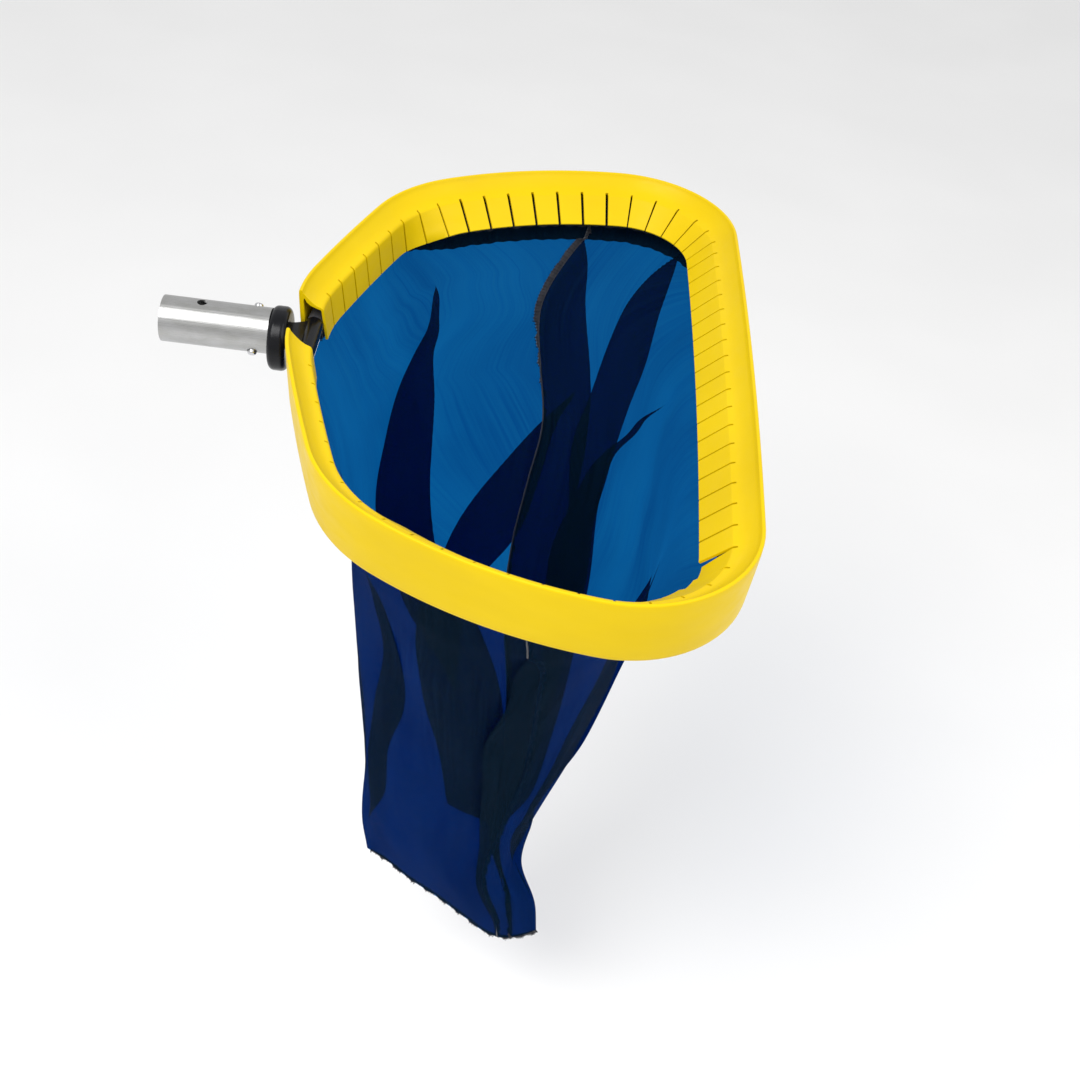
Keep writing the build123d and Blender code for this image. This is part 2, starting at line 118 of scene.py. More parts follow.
# height of the bottom edge, from the handle's end of it to the other
BOTTOM_LINE = [
    (-1.00, -0.530), (-0.82, -0.532), (-0.50, -0.544), (-0.15, -0.552), (0.20, -0.563),
    (0.45, -0.5705), (0.60, -0.5690), (0.80, -0.5560), (1.00, -0.5350),
]
BOTTOM_FROM = -0.36         # the net is drawn to the bottom line below this level
BOTTOM_OVER = 0.212

# Each pleat is a Z-fold of the net: height, and where its two fold lines are as a share
# of the way round the bag, from the handle by the +Y side. Crossed lines are no fold yet.
PLEATS = {
    "left_leaf": [
        (-0.030, 0.170, 0.140), (-0.050, 0.150, 0.155), (-0.074, 0.1375, 0.1545),
        (-0.100, 0.089, 0.154), (-0.138, 0.056, 0.157), (-0.172, 0.045, 0.161),
        (-0.222, 0.060, 0.168), (-0.260, 0.100, 0.180), (-0.320, 0.164, 0.235),
        (-0.387, 0.236, 0.300), (-0.450, 0.296, 0.335), (-0.520, 0.318, 0.330),
        (-0.572, 0.325, 0.330),
    ],
    "centre_leaf": [
        (-0.018, 0.262, 0.256), (-0.040, 0.2444, 0.2640), (-0.064, 0.232, 0.268),
        (-0.114, 0.2375, 0.286), (-0.146, 0.2486, 0.297), (-0.190, 0.246, 0.300),
        (-0.240, 0.242, 0.306), (-0.300, 0.250, 0.330), (-0.350, 0.280, 0.360),
        (-0.420, 0.320, 0.372), (-0.500, 0.335, 0.350), (-0.572, 0.340, 0.345),
    ],
    "right_leaf": [
        (-0.012, 0.330, 0.322), (-0.030, 0.314, 0.326), (-0.056, 0.2986, 0.329),
        (-0.092, 0.2920, 0.3375), (-0.134, 0.288, 0.334), (-0.190, 0.296, 0.330),
        (-0.240, 0.310, 0.350), (-0.300, 0.330, 0.376), (-0.350, 0.360, 0.406),
        (-0.400, 0.380, 0.430), (-0.470, 0.345, 0.365), (-0.572, 0.350, 0.352),
    ],
    "long_fold": [
        (-0.100, 0.290, 0.270), (-0.122, 0.2708, 0.274), (-0.146, 0.2486, 0.266),
        (-0.188, 0.2167, 0.256), (-0.242, 0.1764, 0.240), (-0.300, 0.150, 0.215),
        (-0.360, 0.170, 0.220), (-0.420, 0.215, 0.235), (-0.480, 0.240, 0.230),
        (-0.572, 0.240, 0.220),
    ],
    "corner_fold": [
        (-0.050, 0.440, 0.420), (-0.090, 0.388, 0.392), (-0.142, 0.3306, 0.345),
        (-0.190, 0.2986, 0.335), (-0.240, 0.290, 0.350), (-0.300, 0.320, 0.372),
        (-0.370, 0.370, 0.400), (-0.440, 0.390, 0.385), (-0.572, 0.390, 0.370),
    ],
    "near_fold": [
        (-0.050, 0.900, 0.880), (-0.090, 0.870, 0.873), (-0.150, 0.846, 0.866),
        (-0.220, 0.838, 0.868), (-0.300, 0.850, 0.885), (-0.380, 0.870, 0.900),
        (-0.460, 0.900, 0.915), (-0.530, 0.925, 0.925), (-0.572, 0.925, 0.920),
    ],
    "near_middle_fold": [
        (-0.060, 0.770, 0.740), (-0.100, 0.745, 0.755), (-0.170, 0.730, 0.760),
        (-0.240, 0.720, 0.765), (-0.330, 0.705, 0.750), (-0.420, 0.695, 0.722),
        (-0.500, 0.690, 0.704), (-0.572, 0.690, 0.700),
    ],
    "leading_fold": [
        (-0.100, 0.530, 0.500), (-0.150, 0.520, 0.522), (-0.220, 0.505, 0.530),
        (-0.300, 0.500, 0.535), (-0.380, 0.498, 0.525), (-0.460, 0.500, 0.515),
        (-0.572, 0.505, 0.505),
    ],
}
# Where the two side seams are in the net, and the pleats whose fold lines they follow.
SEAM_FAR = 0.26
SEAM_NEAR = 0.76
SEAM_PLEATS = ("centre_leaf", "near_middle_fold")
# the pleats in the order that the net passes through them
FOLD_ORDER = ["left_leaf", "long_fold", "centre_leaf", "right_leaf", "corner_fold",
              "leading_fold", "near_middle_fold", "near_fold"]
FOLD_ROUNDING = 0.0020      # how softly the net turns at a fold
FOLD_SETTLES = 0.10         # share of the way round in which a fold's layers settle back
FOLD_SAMPLES = 2400
FOLD_STEP = 0.01            # longest step, in shares of the way round, before it is resampled
FOLD_OPENS_OVER = 0.02      # a pleat narrower than this is only part open
CLOSING_STEPS = 20
FORM_SAMPLES = 241
PLEAT_GAP_TOP = 0.003       # how far apart the layers of a fold lie
PLEAT_GAP_MIDDLE = 0.008
PLEAT_GAP_BOTTOM = 0.0006
GAP_OPENS_OVER = 0.35       # shares of the bag's depth
GAP_CLOSES_FROM = 0.72
GAP_CLOSES_OVER = 0.26
WRINKLES_IN = (0.0016, 14, 5)       # size in metres, number of waves and seed
WRINKLES_ROUND = (0.0022, 10, 11)   # the same, with the size as a share of the way round

# ---- overlocked seams ---------------------------------------------------------------
FAR_SEAM_HEIGHT = 0.0048
NEAR_SEAM_HEIGHT = 0.0036
FOOT_SEAM_HEIGHT = 0.0028
SEAM_HALF_THICK = 0.00055
SEAM_ROOT = -0.0004         # the tape starts this far behind the seam's line
SEAM_STEP = 0.0016
SEAM_WAVES = [(0.0005, 0.017), (0.0003, 0.0071)]    # size and length of the puckers
SEAM_LINE_STEP = 0.0015
OVERLOCK_PITCH = 0.0026
OVERLOCK_RADIUS = 0.00026
OVERLOCK_OUT = 0.00030      # from the tape to the middle of the thread
OVERLOCK_ROOT = 0.0006


# ==== geometry helpers ==============================================================
def outline_arcs():
    """Clockwise arcs of the +Y half: centre, radius, start angle and turn in degrees."""
    x, y = OUTLINE_START
    heading = OUTLINE_HEADING
    arcs = []
    for radius, turn in OUTLINE_ARCS:
        a = math.radians(heading)
        centre = (x + radius * math.sin(a), y - radius * math.cos(a))
        arcs.append((centre, radius, heading + 90.0, turn))
        heading -= turn
        end = math.radians(heading + 90.0)
        x = centre[0] + radius * math.cos(end)
        y = centre[1] + radius * math.sin(end)
    a = math.radians(heading)
    radius = y / math.cos(a)
    centre = (x + radius * math.sin(a), 0.0)
    arcs.append((centre, radius, heading + 90.0, heading + 90.0))
    return arcs


ARCS = outline_arcs()


def half_length(inward):
    """Length of the +Y half of the outline, offset inward."""
    return sum(math.radians(turn) * (radius - inward) for _, radius, _, turn in ARCS)


def outline(distance, inward):
    """Points and outward directions at distances along the outline, offset inward."""
    distance = np.asarray(distance, float)
    half = half_length(inward)
    mirrored = distance > half
    left = np.where(mirrored, 2.0 * half - distance, distance)
    x = np.zeros_like(left)
    y = np.zeros_like(left)
    angle = np.zeros_like(left)
    begun = 0.0
    for centre, radius, start, turn in ARCS:
        here = left >= begun - 1e-9
        a = math.radians(start) - (left - begun) / (radius - inward)
        angle = np.where(here, a, angle)
        x = np.where(here, centre[0] + (radius - inward) * np.cos(a), x)
        y = np.where(here, centre[1] + (radius - inward) * np.sin(a), y)
        begun += math.radians(turn) * (radius - inward)
    flip = np.where(mirrored, -1.0, 1.0)
    return x, y * flip, np.cos(angle), np.sin(angle) * flip


def smooth_step(x):
    x = np.clip(x, 0.0, 1.0)
    return x * x * (3.0 - 2.0 * x)


def through(rows, at):
    """A smooth curve through rows (place, value, ...), read at places, one column a value."""
    table = np.array(sorted(rows), float)
    x = table[:, 0]
    y = table[:, 1:]
    slope = np.gradient(y, x, axis=0)
    at = np.clip(np.asarray(at, float), x[0], x[-1])
    i = np.clip(np.searchsorted(x, at) - 1, 0, len(x) - 2)
    h = (x[i + 1] - x[i])[..., None]
    f = (at - x[i])[..., None] / h
    stay = (1 + 2 * f) * (1 - f) ** 2 * y[i] + f * f * (3 - 2 * f) * y[i + 1]
    turn = h * (f * (1 - f) ** 2 * slope[i] - f * f * (1 - f) * slope[i + 1])
    return stay + turn


def make_piece(name, points, faces, material, sharp=None):
    """A smooth-shaded object, with edges sharper than that many degrees left sharp."""
    mesh = bpy.data.meshes.new(name)
    mesh.from_pydata([tuple(p) for p in points], [], faces)
    mesh.validate()
    mesh.update()
    mesh.polygons.foreach_set("use_smooth", [True] * len(mesh.polygons))
    if sharp is not None:
        mesh.set_sharp_from_angle(angle=math.radians(sharp))
    piece = bpy.data.objects.new(name, mesh)
    bpy.context.scene.collection.objects.link(piece)
    mesh.materials.append(material)
    return piece


def face_outward(piece):
    """Turns every face of a closed piece outward."""
    work = bmesh.new()
    work.from_mesh(piece.data)
    bmesh.ops.recalc_face_normals(work, faces=work.faces)
    work.to_mesh(piece.data)
    work.free()


def skin(sections, size):
    """Faces over a row of closed sections of that many points each, with both ends closed."""
    faces = []
    for i in range(sections - 1):
        for k in range(size):
            n = (k + 1) % size
            faces.append((i * size + k, i * size + n, (i + 1) * size + n, (i + 1) * size + k))
    faces.append(tuple(range(size - 1, -1, -1)))
    last = (sections - 1) * size
    faces.append(tuple(range(last, last + size)))
    return faces


def side_normals(path):
    """Unit normals to the left of a flat path."""
    along = np.gradient(path, axis=0)
    normal = np.stack([-along[:, 1], along[:, 0]], axis=1)
    return normal / np.linalg.norm(normal, axis=1)[:, None]


def tube(path, radius, sides=5):
    """Points and faces of a round thread along a path, with closed ends."""
    path = np.asarray(path, float)
    along = np.gradient(path, axis=0)
    along /= np.linalg.norm(along, axis=1)[:, None]
    up = np.array([0.0, 0.0, 1.0])
    if abs(along[0] @ up) > 0.9:
        up = np.array([1.0, 0.0, 0.0])
    points = []
    for here, t in zip(path, along):
        side = np.cross(t, up)
        side /= np.linalg.norm(side)
        up = np.cross(side, t)
        for k in range(sides):
            a = 2.0 * math.pi * k / sides
            points.append(here + radius * (math.cos(a) * side + math.sin(a) * up))
    return points, skin(len(path), sides)


def joined(parts):
    """One list of points and one of faces from several."""
    points = []
    faces = []
    for some_points, some_faces in parts:
        start = len(points)
        points.extend(some_points)
        faces.extend(tuple(start + i for i in face) for face in some_faces)
    return points, faces


# ==== materials =====================================================================
def new_material(name):
    """A material with its node tree and its Principled shader."""
    material = bpy.data.materials.new(name)
    material.use_nodes = True
    tree = material.node_tree
    shader = tree.nodes["Principled BSDF"]
    return material, tree, shader


def add(tree, kind, **values):
    """A new node, with values for its inputs by name or for its own settings."""
    node = tree.nodes.new(kind)
    for key, value in values.items():
        if key in node.inputs:
            node.inputs[key].default_value = value
        else:
            setattr(node, key, value)
    return node


def noise(tree, vector, scale, detail=3.0, stretch=(1.0, 1.0, 1.0)):
    """A noise texture of that scale, stretched along its axes."""
    mapping = add(tree, "ShaderNodeMapping")
    mapping.inputs["Scale"].default_value = stretch
    tree.links.new(vector, mapping.inputs["Vector"])
    texture = add(tree, "ShaderNodeTexNoise", Scale=scale, Detail=detail)
    tree.links.new(mapping.outputs["Vector"], texture.inputs["Vector"])
    return texture.outputs["Fac"]


def ramp(tree, factor, low, high, at=(0.35, 0.65)):
    """Values or colours from low to high as factor goes between the two places."""
    node = add(tree, "ShaderNodeValToRGB")
    for stop, place, value in zip(node.color_ramp.elements, at, (low, high)):
        stop.position = place
        stop.color = (value, value, value, 1.0) if isinstance(value, float) else (*value, 1.0)
    tree.links.new(factor, node.inputs["Fac"])
    return node.outputs["Color"]


def bump(tree, height, shader, strength, distance):
    """Relief from a height, on the shader's normal."""
    node = add(tree, "ShaderNodeBump", Strength=strength, Distance=distance)
    tree.links.new(height, node.inputs["Height"])
    tree.links.new(node.outputs["Normal"], shader.inputs["Normal"])


def place_of(tree):
    """Object coordinates, so that a pattern stays on its piece."""
    return add(tree, "ShaderNodeTexCoord").outputs["Object"]


def yellow_plastic():
    """Moulded lip plastic: clean yellow with faint flow marks and a fine satin skin."""
    material, tree, shader = new_material("yellow_plastic")
    where = place_of(tree)
    flow = noise(tree, where, 9.0, 4.0, (1.0, 1.0, 2.5))
    tree.links.new(
        ramp(tree, flow, (0.715, 0.495, 0.0002), (0.775, 0.545, 0.0004)), shader.inputs["Base Color"]
    )
    scuffs = noise(tree, where, 60.0, 6.0, (1.0, 1.0, 3.0))
    tree.links.new(ramp(tree, scuffs, 0.36, 0.50), shader.inputs["Roughness"])
    skin = noise(tree, where, 1400.0, 2.0)
    bump(tree, skin, shader, 0.10, 0.0002)
    shader.inputs["Specular IOR Level"].default_value = 0.15
    return material


def aluminium():
    """Drawn tube: long faint die lines, a satin sheen and a few dull handling marks."""
    material, tree, shader = new_material("aluminium")
    where = place_of(tree)
    shader.inputs["Metallic"].default_value = 1.0
    lines = noise(tree, where, 1.0, 3.0, (14.0, 1500.0, 1500.0))
    marks = noise(tree, where, 85.0, 5.0, (1.0, 2.0, 2.0))
    tree.links.new(
        ramp(tree, marks, (0.40, 0.40, 0.39), (0.46, 0.46, 0.46)), shader.inputs["Base Color"]
    )
    tree.links.new(ramp(tree, lines, 0.24, 0.40), shader.inputs["Roughness"])
    bump(tree, lines, shader, 0.25, 0.00012)
    return material


def steel(name, colour, rough):
    """Bright or sprung steel with fine turning marks."""
    material, tree, shader = new_material(name)
    where = place_of(tree)
    shader.inputs["Metallic"].default_value = 1.0
    marks = noise(tree, where, 900.0, 4.0, (1.0, 1.0, 5.0))
    dull = tuple(0.8 * c for c in colour)
    tree.links.new(ramp(tree, marks, dull, colour), shader.inputs["Base Color"])
    tree.links.new(ramp(tree, marks, rough, rough + 0.14), shader.inputs["Roughness"])
    bump(tree, marks, shader, 0.12, 0.0001)
    return material


def black_plastic():
    """Handle moulding: near black, with a satin skin that is shinier where it is rubbed."""
    material, tree, shader = new_material("black_plastic")
    where = place_of(tree)
    patches = noise(tree, where, 55.0, 5.0)
    tree.links.new(
        ramp(tree, patches, (0.0025, 0.0028, 0.0040), (0.0060, 0.0065, 0.0090)),
        shader.inputs["Base Color"],
    )
    tree.links.new(ramp(tree, patches, 0.16, 0.30), shader.inputs["Roughness"])
    skin = noise(tree, where, 1700.0, 2.0)
    bump(tree, skin, shader, 0.18, 0.0002)
    shader.inputs["Specular IOR Level"].default_value = 0.20
    return material


def binding():
    """Overlocked tape and thread: near black, with the twist of the yarn."""
    material, tree, shader = new_material("binding")
    where = place_of(tree)
    yarn = noise(tree, where, 2600.0, 2.0)
    tree.links.new(
        ramp(tree, yarn, (0.004, 0.005, 0.010), (0.022, 0.022, 0.032)), shader.inputs["Base Color"]
    )
    tree.links.new(ramp(tree, yarn, 0.70, 0.95), shader.inputs["Roughness"])
    bump(tree, yarn, shader, 0.6, 0.0003)
    shader.inputs["Sheen Weight"].default_value = 0.25
    return material


def thread(name, low, high):
    """Sewing thread, lighter where its strands catch the light."""
    material, tree, shader = new_material(name)
    strands = noise(tree, place_of(tree), 3200.0, 2.0)
    tree.links.new(ramp(tree, strands, low, high), shader.inputs["Base Color"])
    tree.links.new(ramp(tree, strands, 0.55, 0.80), shader.inputs["Roughness"])
    bump(tree, strands, shader, 0.4, 0.0002)
    return material


# Tint of the light through the net, deep to light; its light streaks are partly the weave's wales
# and partly painted highlight.
NET_DYE_DEEP = (0.0008, 0.080, 0.300)
NET_THIN_DYE_AND_HIGHLIGHT = (0.0030, 0.150, 0.450)
NET_YARN = (0.004, 0.030, 0.062)
# The streaks are partly the weave's wales and partly painted highlight.
STREAK_SHARE = 0.55         # of the dye's pattern; the rest of it is broad clouds


def net():
    """Sheer net: dyed light comes through the weave, in vertical streaks that are partly the weave's
    wales and partly painted highlight, and the yarn itself is dull blue.
    """
    material, tree, shader = new_material("net")
    weave_map = add(tree, "ShaderNodeUVMap", uv_map="weave").outputs["UV"]
    # Vertical streaks along the weave, partly its wales and partly painted highlight; they set the
    # tint that comes through and the yarn's cover.
    wales_and_painted_highlights = noise(tree, weave_map, 1.0, 3.0, (620.0, 9.0, 1.0))
    clouds = noise(tree, weave_map, 1.0, 3.0, (14.0, 7.0, 1.0))
    mixed = add(tree, "ShaderNodeMath", operation="MULTIPLY_ADD")
    mixed.inputs[1].default_value = 1.0 - STREAK_SHARE
    tree.links.new(clouds, mixed.inputs[0])
    share = add(tree, "ShaderNodeMath", operation="MULTIPLY")
    share.inputs[1].default_value = STREAK_SHARE
    tree.links.new(wales_and_painted_highlights, share.inputs[0])
    tree.links.new(share.outputs[0], mixed.inputs[2])
    dye_and_painted_highlights = ramp(tree, mixed.outputs[0], NET_DYE_DEEP, NET_THIN_DYE_AND_HIGHLIGHT, (0.36, 0.62))
    clear = add(tree, "ShaderNodeBsdfTransparent")
    tree.links.new(dye_and_painted_highlights, clear.inputs["Color"])
    yarn = noise(tree, weave_map, 1.0, 2.0, (1400.0, 1400.0, 1.0))
    dark = tuple(0.6 * c for c in NET_YARN)
    tree.links.new(ramp(tree, yarn, dark, NET_YARN), shader.inputs["Base Color"])
    shader.inputs["Roughness"].default_value = 0.75
    shader.inputs["Specular IOR Level"].default_value = 0.05
    shader.inputs["Sheen Weight"].default_value = 0.05
    shader.inputs["Sheen Roughness"].default_value = 0.5
    shader.inputs["Sheen Tint"].default_value = (0.12, 0.35, 0.8, 1.0)
    bump(tree, yarn, shader, 0.3, 0.0002)
    cover = ramp(tree, wales_and_painted_highlights, 0.20, 0.34)
    mix = add(tree, "ShaderNodeMixShader")
    tree.links.new(cover, mix.inputs["Fac"])
    tree.links.new(clear.outputs["BSDF"], mix.inputs[1])
    tree.links.new(shader.outputs["BSDF"], mix.inputs[2])
    out = tree.nodes["Material Output"]
    tree.links.new(mix.outputs["Shader"], out.inputs["Surface"])
    return material


def pale_floor():
    """Matt, nearly white studio floor."""
    material, tree, shader = new_material("pale_floor")
    grain = noise(tree, place_of(tree), 3.0, 2.0)
    tree.links.new(
        ramp(tree, grain, (0.90, 0.90, 0.90), (0.92, 0.92, 0.92)), shader.inputs["Base Color"]
    )
    shader.inputs["Roughness"].default_value = 0.9
    return material


# ==== scoop lip =====================================================================
def arc_points(centre, radius, start, end, count):
    """Points of an arc between two angles in degrees."""
    a = np.radians(np.linspace(start, end, count))
    return [(centre[0] + radius * math.cos(k), centre[1] + radius * math.sin(k)) for k in a]


def lip_body_path():
    """From the slot line out over the dish and bead, down the wall and back up inside."""
    dish = [DISH_END, (0.0098, -0.0092), (0.0070, -0.0066), (0.0048, -0.0041), (0.0032, -0.0022)]
    bead = arc_points((0.00145, -0.00140), 0.00138, 20.0, 180.0, 9)
    wall = [(0.00020, -0.006), (0.0009, -0.018), (0.0018, -0.031), (0.0026, -0.0425)]
    foot = arc_points((0.0043, -0.0447), 0.0013, 190.0, 350.0, 7)
    inner = [(0.0054, -0.0410), (0.0050, -0.0353)]
    rib = [(0.0098, -0.0348), (0.0104, -0.0343), (0.0104, -0.0334), (0.0098, -0.0328),
           (0.0048, -0.0328)]
    upper = [(0.0042, -0.022), (0.0034, -0.0075), (0.0040, -0.0066), (0.0056, -0.0096),
             (0.0082, -0.0118), (0.0115, -0.0131)]
    fall = (CREASE[1] - DISH_END[1]) / (CREASE[0] - DISH_END[0])
    start_down = DISH_END[1] + fall * (SLOT_IN - DISH_END[0])
    start = (SLOT_IN, start_down)
    end = (SLOT_IN - 0.0007, start_down - SLAT_THICKNESS)
    return [start, *dish, *bead, *wall, *foot, *inner, *rib, *upper, end]


def slat_slope(angle):
    """Slope of the slats, in degrees, where the outline faces outward at an angle."""
    low, high = SLOPE_TURN
    share = float(smooth_step((abs(angle) - low) / (high - low)))
    return LEADING_SLOPE + (HANDLE_SLOPE - LEADING_SLOPE) * share


def lip_slat_path(slope):
    """Under the slat from the slot line, round its tip and back over the crease."""
    level = math.atan2(DISH_END[1] - CREASE[1], CREASE[0] - DISH_END[0])
    slope = math.radians(slope)
    tangent = CREASE_RADIUS * math.tan((slope - level) / 2.0)
    bend_u = CREASE[0] - tangent * math.cos(level) - CREASE_RADIUS * math.sin(level)
    bend_w = CREASE[1] + tangent * math.sin(level) - CREASE_RADIUS * math.cos(level)
    line = []
    for k in np.linspace(level, slope, 6):
        line.append((bend_u + CREASE_RADIUS * math.sin(k), bend_w + CREASE_RADIUS * math.cos(k), k))
    for reach in (0.36, 0.68, 1.0):
        far = tangent + (SLAT_LENGTH - tangent) * reach
        line.append((CREASE[0] + far * math.cos(slope), CREASE[1] - far * math.sin(slope), slope))
    top = [(u, w) for u, w, _ in line]
    under = [(u - SLAT_THICKNESS * math.sin(k), w - SLAT_THICKNESS * math.cos(k))
             for u, w, k in line]
    nose = []
    for forward, down in ((0.00030, 0.00025), (0.00040, 0.00060),
                          (0.00040, 0.0013), (0.00030, 0.00165)):
        nose.append((
            top[-1][0] + forward * math.cos(slope) - down * math.sin(slope),
            top[-1][1] - forward * math.sin(slope) - down * math.cos(slope),
        ))
    return [*under, *reversed(nose), *reversed(top)]


def slot_edges():
    """Distances along the slot line of each slot's two sides, and of the lip's near end."""
    slots = []
    for index in range(FAR_SLOTS):
        width = WIDE_SLOT_WIDTH if index in WIDE_SLOTS else SLOT_WIDTH
        slots.append((FIRST_SLOT + SLOT_PITCH * index, width))
    last = slots[-1][0]
    for index in range(CORNER_SLOTS):
        slots.append((last + CORNER_PITCH * (index + 1), SLOT_WIDTH))
    last = slots[-1][0] + CORNER_PITCH
    end = 2.0 * half_length(SLOT_IN) - (abs(NEAR_END_Y) - OUTLINE_START[1])
    while last < end - SLOT_PITCH / 3.0:
        slots.append((last, SLOT_WIDTH))
        last += SLOT_PITCH
    return [(middle - width / 2.0, middle + width / 2.0) for middle, width in slots], end


def bent_slat(path, degrees):
    """The slat's section turned down about the slot line."""
    a = math.radians(-degrees)
    turned = []
    for u, w in path:
        du = u - SLOT_IN
        dw = w - SPLAY_DOWN
        turned.append((
            SLOT_IN + du * math.cos(a) - dw * math.sin(a),
            SPLAY_DOWN + du * math.sin(a) + dw * math.cos(a),
        ))
    return turned


def lip_stations():
    """Places of the lip's sections along the slot line, each with the number of its slat."""
    slots, end = slot_edges()
    stations = [(0.0, 0)]
    for slat, (near, far) in enumerate(slots):
        begin = stations[-1][0]
        steps = max(2, math.ceil((near - begin) / LIP_STEP))
        for k in range(1, steps + 1):
            stations.append((begin + (near - begin) * k / steps, slat))
        stations.append((far, slat + 1))
    begin, slat = stations[-1]
    for k in range(1, 4):
        stations.append((begin + (end - begin) * k / 3.0, slat))
    return stations


def slat_path_at(out_x, out_y):
    """Section of a slat where the outline faces that way."""
    return lip_slat_path(slat_slope(math.degrees(math.atan2(out_y, out_x))))


def lip_points(stations, body):
    """Points of every section of the lip."""
    end = stations[-1][0]
    points = []
    for place, slat in stations:
        x, y, out_x, out_y = (float(v) for v in outline(place, SLOT_IN))
        splay = SPLAYED_SLATS.get(slat, 0.0)
        for u, w in body + bent_slat(slat_path_at(out_x, out_y), splay):
            inward = SLOT_IN - u
            px = x + inward * out_x
            py = NEAR_END_Y if place == end else y + inward * out_y
            points.append((px, py, RIM_Z + w))
    return points


def lip_faces(stations, body_size, size):
    """Faces of the lip: a body all the way, and slats with closed sides between the slots."""
    first = body_size - 1
    around = list(range(first, size)) + [0]
    faces = []
    cap_loops = [list(range(size))]
    for i in range(len(stations) - 1):
        a = i * size
        b = a + size
        for k in range(first):
            faces.append((a + k, a + k + 1, b + k + 1, b + k))
        if stations[i][1] == stations[i + 1][1]:
            for k, n in zip(around[:-1], around[1:]):
                faces.append((a + k, a + n, b + n, b + k))
        else:
            faces.append((a + first, a, b, b + first))
            cap_loops.append([a + k for k in around])
            cap_loops.append([b + k for k in reversed(around)])
    cap_loops.append([(len(stations) - 1) * size + k for k in range(size - 1, -1, -1)])
    return faces + [tuple(loop) for loop in cap_loops], cap_loops


def round_edges(piece, loops, width):
    """A small bevel along the edges of those loops of points."""
    mesh = piece.data
    creased = set()
    for loop in loops:
        for k, n in zip(loop, loop[1:] + loop[:1]):
            creased.add(frozenset((k, n)))
    ends = np.zeros(len(mesh.edges) * 2, int)
    mesh.edges.foreach_get("vertices", ends)
    values = [float(frozenset((int(a), int(b))) in creased) for a, b in ends.reshape(-1, 2)]
    weights = mesh.attributes.new("bevel_weight_edge", "FLOAT", "EDGE")
    weights.data.foreach_set("value", values)
    bevel = piece.modifiers.new("rounded_edges", "BEVEL")
    bevel.limit_method = "WEIGHT"
    bevel.width = width
    bevel.segments = 2


def scoop_lip(material):
    """The whole lip, one piece from its far end round the leading edge to its near end."""
    stations = lip_stations()
    body = lip_body_path()
    points = lip_points(stations, body)
    faces, cap_loops = lip_faces(stations, len(body), len(points) // len(stations))
    lip = make_piece("lip", points, faces, material)
    face_outward(lip)
    lip.data.set_sharp_from_angle(angle=math.radians(LIP_SHARP_ANGLE))
    round_edges(lip, cap_loops, SLOT_EDGE_BEVEL)
    return lip


# ==== bag ===========================================================================
def mouth(share):
    """Points of the bag's top edge at shares of the way round, from the handle by +Y."""
    total = 2.0 * half_length(BAG_IN)
    back = OUTLINE_START[1]
    loop = total + 2.0 * back
    distance = loop * np.mod(share, 1.0) - back
    x, y, _, _ = outline(np.clip(distance, 0.0, total), BAG_IN)
    straight = (distance < 0.0) | (distance > total)
    over = np.where(distance < 0.0, distance, distance - loop) + back
    x = np.where(straight, OUTLINE_START[0] + BAG_IN, x)
    y = np.where(straight, over, y)
    return x, y, loop


def depth_share(level):
    """How far down the bag a level is, as a share of its depth."""
    return (BAG_TOP_Z - level) / (BAG_TOP_Z - BAG_LEVELS[-1][0])


def bag_point(share, level, inset):
    """Points of the bag's smooth form at shares of the way round, moved inward by inset."""
    def form(s):
        x, y, _ = mouth(s)
        top, middle, half_x, _, half_y = BAG_LEVELS[0]
        nx = (x - middle) / half_x
        ny = y / half_y
        rounded = np.hypot(nx, ny) ** smooth_step((top - level) / ROUND_DEPTH)
        nx = nx / rounded
        ny = ny / rounded
        p = through(BAG_LEVELS, level)
        px = p[..., 0] + p[..., 1] * nx
        py = p[..., 2] + p[..., 3] * ny + BAG_TWIST * np.clip(depth_share(level), 0.0, 1.0) * nx
        return px, py, nx

    x, y, nx = form(share)
    ahead_x, ahead_y, _ = form(share + FORM_STEP)
    behind_x, behind_y, _ = form(share - FORM_STEP)
    tx = ahead_x - behind_x
    ty = ahead_y - behind_y
    size = np.hypot(tx, ty)
    out_x = -ty / size
    out_y = tx / size
    foot = through(BOTTOM_LINE, nx)[..., 0] - BAG_LEVELS[-1][0]
    z = level + foot * smooth_step((BOTTOM_FROM - level) / BOTTOM_OVER)
    return x - inset * out_x, y - inset * out_y, z


def layer_gap(level):
    """How far apart the layers of a fold lie at a level."""
    depth = depth_share(level)
    opened = float(smooth_step(depth / GAP_OPENS_OVER))
    closed = float(smooth_step((depth - GAP_CLOSES_FROM) / GAP_CLOSES_OVER))
    gap = PLEAT_GAP_TOP + (PLEAT_GAP_MIDDLE - PLEAT_GAP_TOP) * opened
    return gap + (PLEAT_GAP_BOTTOM - gap) * closed


def fold_lines(level):
    """Shares where the net turns back, then forward again, at each pleat in its order."""
    lines = [through(PLEATS[name], level) for name in FOLD_ORDER]
    forward = []
    reached = 0.0
    for index, (left, right) in enumerate(lines):
        if right <= left:
            later = [max(r, (l + r) / 2.0) for l, r in lines[index + 1:]]
            left = right = min(max((left + right) / 2.0, reached), min([1.0, *later]))
        right = max(right, reached)
        left = min(left, right)
        forward.append((float(left), float(right)))
        reached = left
    return forward


